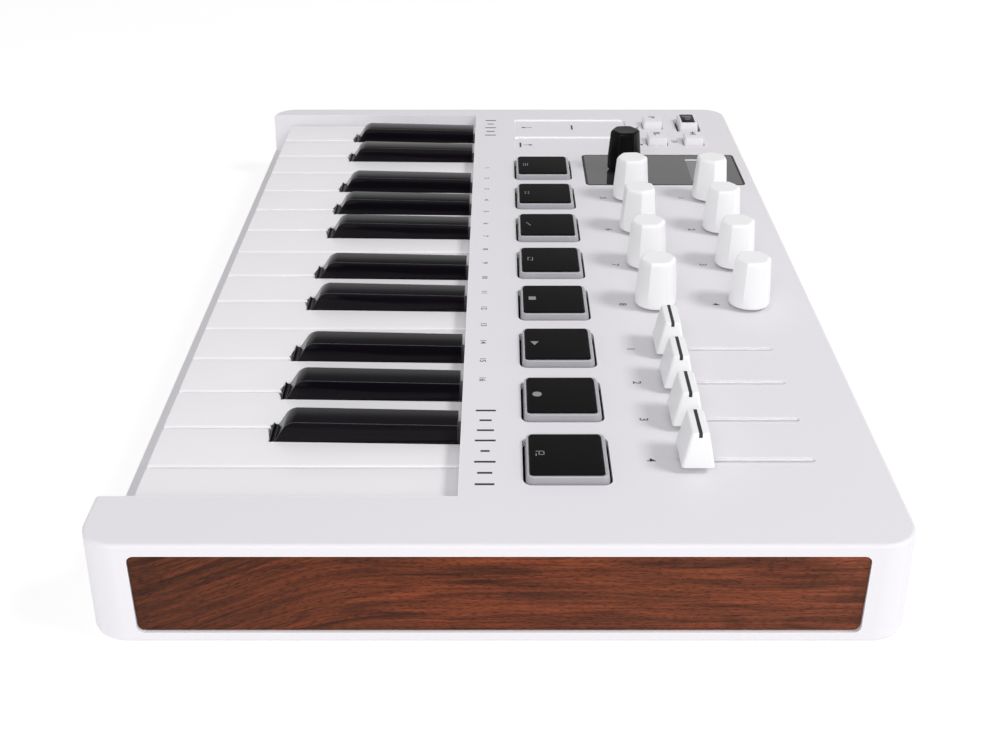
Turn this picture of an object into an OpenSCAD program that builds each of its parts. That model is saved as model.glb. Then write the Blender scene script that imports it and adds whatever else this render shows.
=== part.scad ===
// Compact 25-key MIDI keyboard: slim keys, eight pads, eight encoder knobs, a browse knob with a small
// display, four faders, four buttons and two touch strips in a flat white case with wooden end panels.
// Millimetres. X runs to the player's right, Y to the rear and Z up. The origin is on the table, under
// the middle of the case. Heights named "drop" or "rise" are measured from the top panel.

/* [Case] */
// Width of the case from end to end
case_w = 355; // [354:0.5:364]
// Depth of the case from front to rear
case_d = 220; // [219:0.5:226]
// Height of the case body, without the feet
case_h = 31.5; // [31:0.5:33]
// How far the rubber feet hold the case off the table
foot_h = 0.5; // [0.5:0.25:2]
// Radius of the four upright corners in plan
corner_r = 11; // [9:0.5:13]
// Radius of the top and bottom edges
edge_r = 1.2; // [0.6:0.1:1.6]
// How far the upright faces lean in from bottom to top
side_draft = 0.8; // [0:0.1:1]
// Thickness of the front and rear walls
wall_t = 2.5; // [2.5:0.25:3]
// Thickness of the end walls, which carry the wooden panels
end_wall_t = 4; // [4:0.25:4.5]
// Thickness of the top panel and the bottom cover
panel_t = 2.5; // [2:0.25:2.5]

/* [Wooden end panels] */
// Length of a wooden panel
wood_l = 191.8; // [180:0.2:192]
// Height of a wooden panel
wood_h = 24.4; // [18:0.2:24.6]
// Thickness of a wooden panel
wood_t = 1.5; // [1:0.1:1.6]
// How far a wooden panel lies inside the end of the case
wood_recess = 0.9; // [0.9:0.1:1.4]

/* [Keys] */
// Distance from one white key to the next
white_pitch = 21.373; // [21:0.001:21.4]
// Gap between two white keys
white_gap = 0.6; // [0.5:0.1:1]
// Right-hand edge of the row of keys
keys_right = 154.15; // [150:0.05:154.15]
// Drop of the white key tops below the top panel
white_drop = 5; // [4.5:0.1:5.5]
// Height of a white key's side walls
skirt_h = 12; // [10:0.5:12]
// Y of the front edge of the white keys
key_front = -101.3; // [-101.3:0.1:-98]
// Y of the front edge of the top panel, where the keys go under it
panel_front = -11.2; // [-13:0.1:-11]
// Width of a black key where it meets the white keys
black_w = 10.2; // [9.5:0.1:10.4]
// Width of a black key along its top
black_top_w = 8.7; // [6:0.1:9]
// Width of the notches in the white keys for a black key
notch_w = 11.6; // [11.6:0.1:12]
// Length of a black key's foot in front of the panel edge
black_l = 56.9; // [50:0.1:57]
// How far a black key's raised part starts behind the front of its foot
black_step_in = 1.4; // [0.5:0.1:3]
// Rise of a black key's front edge above the top panel
black_rise = 1.4; // [0.5:0.1:2]
// Clearance between a key's snap hook and the round fulcrum rail, on the radius
hook_gap = 0.05; // [0.03:0.01:0.08]

/* [Controls] */
// Grid pitch of the pads and of the knobs
grid = 32.85; // [32:0.05:33]
// X of the last pad, at the right
pad_x = 137.2; // [136:0.1:138]
// Y of the pads
pad_y = 19; // [18:0.1:20]
// Width of a pad's light frame at the panel
pad_w = 23.3; // [22:0.1:23.3]
// X of the knobs' right-hand column
knob_x = 38.65; // [37:0.05:39]
// Y of the front row of knobs
knob_y = 54.2; // [52:0.1:55]
// Distance between the two rows of knobs
knob_row = 32.5; // [31:0.1:33]
// Diameter of a knob at its foot
knob_d = 14.3; // [12:0.1:15]
// Height of a knob's top above the panel
knob_rise = 18; // [14:0.1:19]
// X of the browse knob and the middle of the display window
browse_x = -93.05; // [-94:0.05:-92]
// X of the first fader slot
fader_x = 71.3; // [70:0.1:72]
// Distance between fader slots
fader_pitch = 21.9; // [20:0.1:22]
// Y of a fader cap's middle at the front end of its travel
fader_y = 55.1; // [54.5:0.1:56]
// Travel of a fader cap
fader_travel = 30; // [20:1:30]

/* [Hidden] */
$fn = 64;
white_count = 15;
black_count = 10;
pad_count = 8;
knob_count = 8;
fader_count = 4;
button_count = 4;

function numbered(name, count) = [for (i = [1:count]) str(name, "_", i)];

white = [0.93, 0.93, 0.94];
black = [0.08, 0.08, 0.09];
silver = [0.75, 0.76, 0.78];
steel = [0.6, 0.6, 0.62];
board_green = [0.07, 0.32, 0.18];
rosewood = [0.42, 0.2, 0.13];

far = 60; // longer than any cut needs to be
part_gap = 0.05; // keeps touching pieces apart as separate solids
z_top = foot_h + case_h;
panel_under = z_top - panel_t;
floor_top = foot_h + panel_t;
half_w = case_w / 2;
half_d = case_d / 2;

// Key bay
keys_left = keys_right - white_count * white_pitch;
bay_gap = 0.45;
bay_left = keys_left - bay_gap;
bay_right = keys_right + bay_gap;
bay_wall = 2;
rail_gap = 1;
rail_rear = key_front - rail_gap;
white_z = z_top - white_drop;
skirt_z = white_z - skirt_h;
rail_z = skirt_z - 0.5;
lip_z = white_z + 0.5;

// Keys
key_wall = 1.6;
key_rear = panel_front + 3.2;
notch_front = -68.6;
black_front = panel_front - black_l;
black_rear = panel_front - 0.9;
black_z = white_z - 0.2;
black_skirt_z = skirt_z + 1.5;
pivot_y = -2;
pivot_z = z_top - 13;
fulcrum_r = 2;
hub_r = 4.2;
arm_w = 8;
plunger_y = -45;

// Twelve notes of an octave: the white key at or below each note, and how far a black key sits from the
// line between its two white keys
white_of_note = [0, 0, 1, 1, 2, 3, 3, 4, 4, 5, 5, 6];
black_of_note = [-1, 0, -1, 1, -1, -1, 2, -1, 3, -1, 4, -1];
black_after_white = [0, 1, -1, 2, 3, 4, -1];
black_shift = [-2.3, 2.3, -3.2, 0, 3.2];
black_step = [1, 2, 4, 5, 6];

function white_x(i) = keys_left + i * white_pitch;
function black_x(j) = white_x(7 * floor(j / 5) + black_step[j % 5]) + black_shift[j % 5];
// The black key between white keys i and i + 1, or -1 where there is none
function black_after(i) =
    (i < 0 || i >= white_count - 1 || black_after_white[i % 7] < 0) ? -1
    : 5 * floor(i / 7) + black_after_white[i % 7];
function stem_left(i) = black_after(i - 1) < 0 ? white_x(i) + white_gap / 2
    : black_x(black_after(i - 1)) + notch_w / 2;
function stem_right(i) = black_after(i) < 0 ? white_x(i + 1) - white_gap / 2
    : black_x(black_after(i)) - notch_w / 2;
function stem_x(i) = (stem_left(i) + stem_right(i)) / 2;
function note_x(n) = black_of_note[n % 12] < 0
    ? stem_x(7 * floor(n / 12) + white_of_note[n % 12])
    : black_x(5 * floor(n / 12) + black_of_note[n % 12]);
note_count = white_count + black_count;

// Boards
board_t = 1.6;
board_top = z_top - 12;
board_w = 338;
board_front = 5.5;
board_rear = half_d - 5.5;
contact_top = skirt_z - 4.9;
contact_front = -62;
contact_rear = -22;

// Pads
pad_well = pad_w + 1.5;
pad_rise = 2.4;
pad_drop = 4;

// Knobs and encoders
knob_top_d = 11.6;
knob_lift = 1.2;
knob_facets = 6;
facet_turn = 3;
shaft_r = 3;
shaft_flat = 1.5;
shaft_gap = 0.05;
bushing_r = 3.5;
bushing_rise = 0.5;
encoder_w = 12;
encoder_h = 6.5;
panel_hole_r = 3.8;
rotor_r = 4.6;
rotor_z = board_top + 2;
rotor_h = 3.4;

// Wooden end panels
wood_z = z_top - 3.625 - wood_h / 2;
wood_r = 1.85;
wood_fit = 0.15;

// Display window
window_w = 37.5;
window_r = 2;
window_ledge = 2;
window_front = 36.8;
window_rear = 104.6;
window_t = 1.5;
window_y = (window_front + window_rear) / 2;
window_d = window_rear - window_front;
oled_y = 88.5;

// Faders
slot_w = 1.5;
slot_step_w = 2.4;
slot_step = 0.6;
slot_end = 3.7;
lever_t = 1.2;
lever_w = 4;
lever_foot = 3;

// Buttons: middle, size at the panel and size of the opening
buttons = [
    [[-128.6, 89.1], [10, 9], [10.9, 9.9]],
    [[-128.6, 72.5], [10, 9], [10.9, 9.9]],
    [[-151.5, 72.5], [10, 9], [10.9, 9.9]],
    [[-152.1, 89.2], [15.7, 8.8], [18.3, 11.4]]
];
button_rise = 3.3;
shift_button = 3;

// Touch strips: middle and size of each shallow recess
strips = [[[-151.2, 33.8], [18.2, 53]], [[-126.8, 33.8], [18.2, 53]]];
strip_recess = 0.8;

// Sockets along the rear wall
usb_x = -136;
din_x = -106;
jack_x = -74;
lock_x = 150;
din_z = 15.5;
jack_z = 12;
lock_z = 15;
usb_z = board_top - board_t - 2;
din_r = 8.1;
jack_r = 5.2;
jack_bore_r = 3.2;
socket_fit = 0.25;
usb_size = [9, 3.3];
lock_size = [7, 3];
socket_face = half_d - 1.2;

// Screws
screw_r = 1.2;
pilot_r = 1.23;
screw_hole_r = 1.6;
head_r = 2.7;
head_h = 1.2;
boss_r = 3.2;
rear_screws = [[-165.5, 10], [165.5, 10], [-165.5, 100.5], [165.5, 100.5], [-10.6, 37], [0, 100.5]];
cheek_screws = [[165, -95], [165, -45]];
chassis_screws = [for (x = [-150, -50, 45, 140], y = [-77, -16]) [x, y]];

feet = [for (x = [-152, 152], y = [-90, 90]) [x, y]];
foot_r = 8;

// ---------------------------------------------------------------- shared shapes

module rounded_rect(w, d, r) {
    square([w - 2 * r, d], center = true);
    square([w, d - 2 * r], center = true);
    for (x = [-1, 1], y = [-1, 1])
        translate([x * (w / 2 - r), y * (d / 2 - r)]) circle(r);
}

module rounded_plate(w, d, h, r) {
    linear_extrude(h) rounded_rect(w, d, r);
}

// A box given by its lowest and highest corners
module box(low, high) {
    translate(low) cube(high - low);
}

// A block that narrows upwards from one rounded rectangle to another
module tapered_block(foot, top, h, r) {
    thin = 0.01;
    hull() {
        linear_extrude(thin) rounded_rect(foot[0], foot[1], r, $fn = 32);
        translate([0, 0, h - thin]) linear_extrude(thin) rounded_rect(top[0], top[1], r, $fn = 32);
    }
}

// A D-shaped shaft or hole along Z
module d_shaft(r, h) {
    difference() {
        cylinder(r = r, h = h);
        translate([shaft_flat + r - shaft_r, -r, -1]) cube([r, 2 * r, h + 2]);
    }
}

// A cross-recessed screw that points up, with its head's face at the bottom
module screw(l) {
    recess = 0.7;
    difference() {
        union() {
            cylinder(r = head_r, h = head_h);
            cylinder(r = screw_r, h = l);
        }
        for (a = [0, 90])
            rotate(a) translate([-1.4, -0.3, -1]) cube([2.8, 0.6, 1 + recess]);
    }
}

// ---------------------------------------------------------------- case

// Outside of the case as stacked levels, each a height and how far it lies inside the widest outline
level_t = 0.01;
case_levels = concat(
    [for (a = [90, 60, 30, 0]) [foot_h + edge_r * (1 - sin(a)), edge_r * (1 - cos(a))]],
    [for (a = [0, 30, 60, 90])
        [z_top - level_t - edge_r * (1 - sin(a)), side_draft + edge_r * (1 - cos(a))]]
);

module case_block() {
    hull()
        for (level = case_levels)
            translate([0, 0, level[0]])
                rounded_plate(case_w - 2 * level[1], case_d - 2 * level[1], level_t,
                    corner_r - level[1]);
}

module case_inside(low, high) {
    translate([0, 0, low])
        rounded_plate(case_w - 2 * end_wall_t, case_d - 2 * wall_t, high - low, corner_r - wall_t);
}

// The hollow of the case, around the walls of the key bay
module case_hollow() {
    wall_foot = floor_top + 0.1;
    difference() {
        case_inside(-1, panel_under);
        box([bay_left - bay_wall, -half_d - 1, wall_foot],
            [bay_right + bay_wall, panel_front + bay_wall, far]);
    }
    intersection() {
        case_inside(0, rail_z - bay_wall);
        box([bay_left, -half_d, 0], [bay_right, rail_rear - bay_wall, far]);
    }
}

// The opening over the keys, and the low rail in front of them
module key_bay() {
    box([bay_left, rail_rear, -1], [bay_right, panel_front, far]);
    box([bay_left, panel_front - 1, -1], [bay_right, panel_front + bay_wall + 1, lip_z]);
    box([bay_left, -half_d - 1, rail_z], [bay_right, rail_rear + 1, far]);
}

module panel_openings() {
    for (k = [0:pad_count - 1])
        translate([pad_x - k * grid, pad_y, panel_under - 1])
            rounded_plate(pad_well, pad_well, far, 2.7);
    for (k = [0:knob_count - 1])
        translate(concat(knob_place(k), [0])) cylinder(r = panel_hole_r, h = far);
    for (k = [0:fader_count - 1]) {
        fader_slot(k, slot_w, slot_end, panel_under - 1, far);
        fader_slot(k, slot_step_w, slot_end + (slot_step_w - slot_w) / 2, z_top - slot_step, far);
    }
    for (b = buttons)
        translate([b[0][0], b[0][1], panel_under - 1]) rounded_plate(b[2][0], b[2][1], far, 1);
    for (s = strips)
        translate([s[0][0], s[0][1], z_top - strip_recess])
            rounded_plate(s[1][0], s[1][1], far, 1.5);
    translate([browse_x, window_y, z_top - window_t])
        rounded_plate(window_w, window_d, far, window_r);
    translate([browse_x, window_y, panel_under - 1])
        rounded_plate(window_w - 2 * window_ledge, window_d - 2 * window_ledge, far, 1.5);
}

module wood_pockets() {
    for (side = [-1, 1])
        scale([side, 1, 1])
            translate([half_w - wood_recess - wood_t - part_gap, 0, wood_z])
                rotate([90, 0, 90])
                    rounded_plate(wood_l + 2 * wood_fit, wood_h + 2 * wood_fit, far, wood_r + wood_fit);
}

// Places a cut that starts inside the case and goes out through the rear wall
module through_rear(x, z) {
    translate([x, half_d - wall_t - 1, z]) rotate([-90, 0, 0]) children();
}

module rear_openings() {
    depth = wall_t + 2;
    through_rear(din_x, din_z) cylinder(r = din_r + socket_fit, h = depth);
    through_rear(jack_x, jack_z) cylinder(r = jack_r + socket_fit, h = depth);
    through_rear(usb_x, usb_z)
        rounded_plate(usb_size[0] + 1, usb_size[1] + 0.9, depth, usb_size[1] / 2 + 0.4);
    through_rear(lock_x, lock_z) rounded_plate(lock_size[0], lock_size[1], depth, 0.6);
}

module top_case() {
    color(white) difference() {
        union() {
            difference() {
                case_block();
                case_hollow();
            }
            for (p = rear_screws)
                translate([p[0], p[1], board_top + part_gap])
                    cylinder(r = boss_r, h = panel_under - board_top);
            for (p = cheek_screws)
                translate([p[0], p[1], floor_top + 0.1])
                    cylinder(r = boss_r, h = panel_under - floor_top);
        }
        key_bay();
        panel_openings();
        wood_pockets();
        rear_openings();
        for (p = rear_screws)
            translate([p[0], p[1], board_top - 1]) cylinder(r = pilot_r, h = 9);
        for (p = cheek_screws)
            translate([p[0], p[1], 0]) cylinder(r = pilot_r, h = 16);
    }
}

module bottom_case() {
    seam = 0.2;
    tongue_l = 24;
    color(white) difference() {
        union() {
            translate([0, 0, foot_h])
                rounded_plate(case_w - 2 * (end_wall_t + seam), case_d - 2 * (wall_t + seam), panel_t,
                    corner_r - wall_t - seam);
            // Tongues that stand in the hollow front rail
            for (x = [-120, -40, 40, 120])
                box([x - tongue_l / 2, -half_d + wall_t + seam, foot_h + 1],
                    [x + tongue_l / 2, rail_rear - bay_wall - seam, floor_top + 6]);
            for (p = rear_screws)
                translate([p[0], p[1], foot_h + 1])
                    cylinder(r = boss_r, h = board_top - board_t - part_gap - foot_h - 1);
        }
        for (p = concat(rear_screws, cheek_screws, chassis_screws)) {
            translate([p[0], p[1], -1]) cylinder(r = screw_hole_r, h = far);
            translate([p[0], p[1], -1]) cylinder(r = head_r + 0.3, h = foot_h + 1 + head_h + 0.2);
        }
        for (p = feet)
            translate([p[0], p[1], -1]) cylinder(r = foot_r + part_gap, h = foot_h + 2);
    }
}

module wood_side_panels() {
    color(rosewood)
        for (side = [-1, 1])
            scale([side, 1, 1])
                translate([half_w - wood_recess - wood_t, 0, wood_z])
                    rotate([90, 0, 90]) rounded_plate(wood_l, wood_h, wood_t, wood_r);
}

module rubber_feet() {
    color(black)
        for (p = feet)
            translate([p[0], p[1], 0]) cylinder(r = foot_r, h = foot_h + 1 - part_gap);
}

module case_screws() {
    color(steel) {
        for (p = rear_screws)
            translate([p[0], p[1], foot_h + 0.1]) screw(board_top + 5.5 - foot_h);
        for (p = concat(cheek_screws, chassis_screws))
            translate([p[0], p[1], foot_h + 0.1]) screw(6.5);
    }
}

module display_window() {
    fit = 0.15;
    color(black) difference() {
        translate([browse_x, window_y, z_top - window_t + part_gap])
            rounded_plate(window_w - 2 * fit, window_d - 2 * fit, window_t - 2 * part_gap, window_r - fit);
        translate([browse_x, knob_y, 0]) cylinder(r = panel_hole_r, h = far);
    }
}

// ---------------------------------------------------------------- control board

function knob_place(k) = [knob_x - grid * (k % 4), knob_y + knob_row * floor(k / 4)];
function fader_place(k) = [fader_x + k * fader_pitch, fader_y];

// A slot along the fader's travel that leaves the given room past the cap's middle at each end
module fader_slot(k, w, end, low, high) {
    p = fader_place(k);
    translate([p[0], p[1] + fader_travel / 2, low])
        rounded_plate(w, fader_travel + 2 * end, high - low, w / 2 - 0.001);
}

module encoder() {
    bushing_l = z_top + bushing_rise - board_top - encoder_h;
    difference() {
        union() {
            translate([-encoder_w / 2, -encoder_w / 2, part_gap])
                cube([encoder_w, encoder_w, encoder_h]);
            translate([0, 0, encoder_h - 1]) cylinder(r = bushing_r, h = bushing_l + 1);
        }
        translate([0, 0, 3]) cylinder(r = shaft_r + shaft_gap, h = far);
    }
}

// The browse knob's encoder, with room for its rotor and for the shaft's push
module push_encoder() {
    difference() {
        encoder();
        translate([0, 0, 1.5]) cylinder(r = shaft_r + shaft_gap, h = far);
        translate([0, 0, rotor_z - board_top - part_gap])
            cylinder(r = rotor_r + shaft_gap, h = rotor_h + 2 * part_gap);
    }
}

module fader_body(k) {
    p = fader_place(k);
    body_w = 9;
    body_l = fader_travel + 20;
    body_h = 7;
    difference() {
        translate([p[0] - body_w / 2, p[1] + fader_travel / 2 - body_l / 2, board_top + part_gap])
            cube([body_w, body_l, body_h]);
        fader_slot(k, slot_w, slot_end, board_top + lever_foot - 0.5, far);
    }
}

module button_switch() {
    translate([-3, -3, part_gap]) cube([6, 6, 3.5]);
    cylinder(r = 1.7, h = 4.3);
}

module din_socket() {
    pin_circle = 4.4;
    translate([din_x, socket_face, din_z]) rotate([90, 0, 0]) difference() {
        union() {
            cylinder(r = din_r, h = 4);
            translate([-9, -9, 1.3]) cube([18, 18, 12]);
        }
        translate([0, 0, -1]) difference() {
            cylinder(r = 6.9, h = 10);
            cylinder(r = 5.9, h = 10);
        }
        for (a = [0:45:180])
            rotate(a) translate([pin_circle, 0, -1]) cylinder(r = 0.8, h = 8);
    }
}

module jack_socket() {
    body_w = 14;
    body_l = 26;
    translate([jack_x, socket_face, jack_z]) rotate([90, 0, 0]) difference() {
        union() {
            cylinder(r = jack_r, h = 4);
            translate([-body_w / 2, -6, 1.4]) cube([body_w, 11.8, body_l]);
        }
        translate([0, 0, -1]) cylinder(r = jack_bore_r, h = body_l - 1);
    }
}

module usb_socket() {
    translate([usb_x, socket_face, usb_z]) rotate([90, 0, 0]) difference() {
        rounded_plate(usb_size[0], usb_size[1], 8, usb_size[1] / 2 - 0.05);
        translate([0, 0, -1]) difference() {
            rounded_plate(usb_size[0] - 0.6, usb_size[1] - 0.6, 7, usb_size[1] / 2 - 0.35);
            translate([-3.3, -0.35, 0]) cube([6.6, 0.7, 7]);
        }
    }
}

module board_sheet() {
    board_d = board_rear - board_front;
    difference() {
        translate([0, board_front + board_d / 2, board_top - board_t])
            rounded_plate(board_w, board_d, board_t, 6);
        for (p = rear_screws)
            translate([p[0], p[1], 0]) cylinder(r = screw_hole_r, h = far);
        box([din_x - 9.5, socket_face - 14, 0], [din_x + 9.5, half_d, far]);
    }
}

module control_board() {
    color(board_green) board_sheet();
    color(steel) {
        for (k = [0:knob_count - 1])
            translate(concat(knob_place(k), [board_top])) encoder();
        translate([browse_x, knob_y, board_top]) push_encoder();
        for (k = [0:fader_count - 1]) fader_body(k);
        usb_socket();
    }
    color(black) {
        for (b = buttons)
            translate([b[0][0], b[0][1], board_top + part_gap]) button_switch();
        for (k = [0:pad_count - 1])
            translate([pad_x - k * grid - 7, pad_y - 7, board_top + part_gap]) cube([14, 14, 0.4]);
        // Display module under the window
        box([browse_x - 13, oled_y - 8, board_top + part_gap],
            [browse_x + 13, oled_y + 8, z_top - window_t - 2 * part_gap]);
        din_socket();
        jack_socket();
        // Touch sensors under the strips
        for (s = strips)
            translate([s[0][0] - 8, s[0][1] - 25, panel_under - 0.4]) cube([16, 50, 0.35]);
    }
}

// ---------------------------------------------------------------- keys

module fulcrum_rail(r, x0, x1) {
    translate([x0, pivot_y, pivot_z]) rotate([0, 90, 0]) cylinder(r = r, h = x1 - x0);
}

// Arm with the snap hook that turns on the fulcrum rail
module key_arm(x) {
    box([x - arm_w / 2, key_rear - 1, pivot_z - 3], [x + arm_w / 2, pivot_y, pivot_z + 3.6]);
    fulcrum_rail(hub_r, x - arm_w / 2, x + arm_w / 2);
}

module key_hook_cut(x) {
    mouth = 2.8;
    fulcrum_rail(fulcrum_r + hook_gap, x - arm_w, x + arm_w);
    box([x - arm_w, pivot_y - mouth / 2, pivot_z - 2 * hub_r],
        [x + arm_w, pivot_y + mouth / 2, pivot_z]);
}

module key_plunger(x) {
    box([x - 2, plunger_y - 2, skirt_z + 1], [x + 2, plunger_y + 2, white_z - 1]);
}

module white_key(i) {
    left = white_x(i) + white_gap / 2;
    right = white_x(i + 1) - white_gap / 2;
    roof = white_z - 2;
    color(white) {
        difference() {
            union() {
                box([left, key_front, skirt_z], [right, notch_front, white_z]);
                box([stem_left(i), notch_front - 1, skirt_z], [stem_right(i), key_rear, white_z]);
                key_arm(stem_x(i));
            }
            box([left + key_wall, key_front + key_wall, 0],
                [right - key_wall, notch_front - key_wall, roof]);
            box([stem_left(i) + key_wall, notch_front - 3, 0],
                [stem_right(i) - key_wall, key_rear - 4, roof]);
            key_hook_cut(stem_x(i));
        }
        key_plunger(stem_x(i));
    }
}

// Raised part of a black key: sloping front, rounded top edges and a top that falls a little to the rear
module black_ridge() {
    r = 1.2;
    lean = 4.3;
    fall = 1.2;
    ridge_front = black_front + black_step_in;
    x = black_top_w / 2 - r;
    hull() {
        box([-black_w / 2, ridge_front, black_z - 1], [black_w / 2, black_rear, black_z]);
        for (side = [-1, 1]) {
            translate([side * x, ridge_front + lean + r, z_top + black_rise - r]) sphere(r, $fn = 24);
            translate([side * x, black_rear, z_top + black_rise - fall - r])
                rotate([90, 0, 0]) cylinder(r = r, h = 0.01, $fn = 24);
        }
    }
}

module black_key(j) {
    x = black_x(j);
    side = black_w / 2;
    color(black) {
        difference() {
            union() {
                translate([x, 0, 0]) black_ridge();
                box([x - side, black_front, black_skirt_z], [x + side, key_rear, black_z]);
                key_arm(x);
            }
            box([x - side + key_wall, black_front + key_wall, 0],
                [x + side - key_wall, key_rear - 4, black_z - 2]);
            key_hook_cut(x);
        }
        key_plunger(x);
    }
}

module key_chassis() {
    rib_t = 1.6;
    base_t = 2;
    base_z = floor_top + part_gap;
    boss_h = 5;
    guide_y = -90;
    guide_w = white_pitch - white_gap - 2 * key_wall - 0.7;
    rib_x = concat(
        [note_x(0) - 7],
        [for (n = [0:note_count - 2]) (note_x(n) + note_x(n + 1)) / 2],
        [note_x(note_count - 1) + 7]
    );
    color(silver) difference() {
        union() {
            box([bay_left + 0.7, rail_rear + 1, base_z], [bay_right - 0.7, 4, base_z + base_t]);
            for (x = rib_x)
                box([x - rib_t / 2, pivot_y - 5, base_z], [x + rib_t / 2, 4, pivot_z + 3]);
            fulcrum_rail(fulcrum_r, rib_x[0] - rib_t / 2, rib_x[note_count] + rib_t / 2);
            // Guides that stand inside the white keys
            for (i = [0:white_count - 1])
                translate([white_x(i + 0.5) - guide_w / 2, guide_y, base_z])
                    cube([guide_w, 3, skirt_z + 2 - base_z]);
            // Ledges under the contact board
            for (y = [contact_front, contact_rear - 3])
                box([bay_left + 4, y, base_z], [bay_right - 4, y + 3, contact_top - board_t - part_gap]);
            for (p = chassis_screws)
                translate([p[0], p[1], base_z]) cylinder(r = boss_r, h = boss_h);
        }
        for (p = chassis_screws)
            translate([p[0], p[1], 0]) cylinder(r = pilot_r, h = base_z + boss_h - 0.4);
    }
}

module key_contact_board() {
    color(board_green)
        box([bay_left + 3, contact_front, contact_top - board_t],
            [bay_right - 3, contact_rear, contact_top]);
    color(black)
        for (n = [0:note_count - 1])
            translate([note_x(n), plunger_y, contact_top + part_gap])
                cylinder(r1 = 3, r2 = 2.4, h = 2.2);
}

// ---------------------------------------------------------------- moving controls

// Rubber pad: a light frame with a black tile, a wide flange under the panel and a foot over its sensor
module pad(k) {
    tile_w = 20.6;
    tile_shift = -0.2;
    frame_top = [22.4, 22.9];
    frame_rise = 1.9;
    tile_z = 1.2;
    flange_w = pad_w + 4;
    flange_t = 1;
    foot_w = 12;
    foot_drop = 10.6;
    translate([pad_x - k * grid, pad_y, z_top]) {
        color(silver) difference() {
            union() {
                translate([0, 0, -pad_drop]) rounded_plate(pad_w, pad_w, pad_drop, 2);
                tapered_block([pad_w, pad_w], frame_top, frame_rise, 2);
                translate([0, 0, -pad_drop]) rounded_plate(flange_w, flange_w, flange_t, 2);
                translate([-foot_w / 2, -foot_w / 2, -foot_drop])
                    cube([foot_w, foot_w, foot_drop - pad_drop + flange_t]);
            }
            translate([0, tile_shift, tile_z])
                rounded_plate(tile_w + 2 * part_gap, tile_w + 2 * part_gap, far, 1 + part_gap);
        }
        color(black) translate([0, tile_shift, tile_z + part_gap])
            rounded_plate(tile_w, tile_w, pad_rise - tile_z - part_gap, 1);
    }
}

// A tapered knob whose six flats fade out towards its round foot
module knob_shell() {
    hollow_r = 5.2;
    hollow_h = 10;
    core_r = 4.4;
    top_apothem = knob_top_d / 2 - 0.15;
    lean = atan((knob_d / 2 - 0.1 - top_apothem) / (knob_rise - knob_lift));
    difference() {
        translate([0, 0, knob_lift])
            cylinder(d1 = knob_d, d2 = knob_top_d + 1.2, h = knob_rise - knob_lift);
        for (i = [0:knob_facets - 1])
            rotate(facet_turn + i * 360 / knob_facets)
                translate([top_apothem, 0, knob_rise]) rotate([0, -lean, 0])
                    translate([0, -knob_d, -far]) cube([far, 2 * knob_d, 2 * far]);
        // Hollow between the hub and the skirt
        translate([0, 0, knob_lift - 1]) difference() {
            cylinder(r = hollow_r, h = hollow_h);
            cylinder(r = core_r, h = hollow_h);
        }
        d_shaft(shaft_r + 0.03, knob_rise - 4);
    }
}

module knob_with_shaft(colour, shaft_foot) {
    color(colour) knob_shell();
    color(steel) translate([0, 0, shaft_foot]) d_shaft(shaft_r, knob_rise - 4.2 - shaft_foot);
}

module knob(k) {
    translate(concat(knob_place(k), [z_top])) knob_with_shaft(white, board_top + 3.5 - z_top);
}

module browse_knob() {
    translate([browse_x, knob_y, z_top]) knob_with_shaft(black, board_top + 2.2 - z_top);
}

// Ring inside the push encoder that the D-shaft turns and slides in
module browse_rotor() {
    color(steel) translate([browse_x, knob_y, rotor_z]) difference() {
        cylinder(r = rotor_r, h = rotor_h);
        translate([0, 0, -1]) d_shaft(shaft_r + shaft_gap, far);
    }
}

// Fader cap with a black line along its top, on a steel lever
module fader_cap(k) {
    cap_lift = 2;
    cap_rise = 12.9;
    foot = [14.6, 9.4];
    top = [13, 4.9];
    line_w = 1;
    line_t = 0.5;
    lever_rise = 8;
    fit = 0.03;
    color(white) translate(concat(fader_place(k), [z_top])) difference() {
        translate([0, 0, cap_lift]) tapered_block(foot, top, cap_rise - cap_lift, 0.8);
        translate([-foot[0], -line_w / 2, cap_rise - line_t]) cube([2 * foot[0], line_w, far]);
        translate([-lever_t / 2 - fit, -lever_w / 2 - fit, 0])
            cube([lever_t + 2 * fit, lever_w + 2 * fit, lever_rise + fit]);
    }
    color(black) translate(concat(fader_place(k), [z_top + cap_rise - line_t + fit]))
        translate([-top[0] / 2, -line_w / 2 + fit, 0])
            cube([top[0], line_w - 2 * fit, line_t - fit]);
    color(steel) translate(concat(fader_place(k), [board_top + lever_foot]))
        translate([-lever_t / 2, -lever_w / 2, 0])
            cube([lever_t, lever_w, z_top + lever_rise - board_top - lever_foot]);
}

module button(k) {
    size = buttons[k][1];
    taper = 0.6;
    inlay_t = 0.5;
    stem_foot = board_top + 5.3 - z_top;
    inlay = k == shift_button ? [11.6, 6.3] : [0, 0];
    translate(concat(buttons[k][0], [z_top])) {
        color(white) difference() {
            union() {
                translate([0, 0, -1.5]) rounded_plate(size[0], size[1], 1.5, 0.8);
                tapered_block(size, size - [taper * 3, taper], button_rise, 0.8);
                translate([-2, -2, stem_foot]) cube([4, 4, -stem_foot]);
            }
            if (k == shift_button)
                translate([0, 0, button_rise - inlay_t]) rounded_plate(inlay[0], inlay[1], 5, 0.6);
        }
        if (k == shift_button)
            color(black) translate([0, 0, button_rise - inlay_t + 0.02])
                rounded_plate(inlay[0] - 0.06, inlay[1] - 0.06, inlay_t, 0.57);
    }
}

// ---------------------------------------------------------------- nodes

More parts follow.
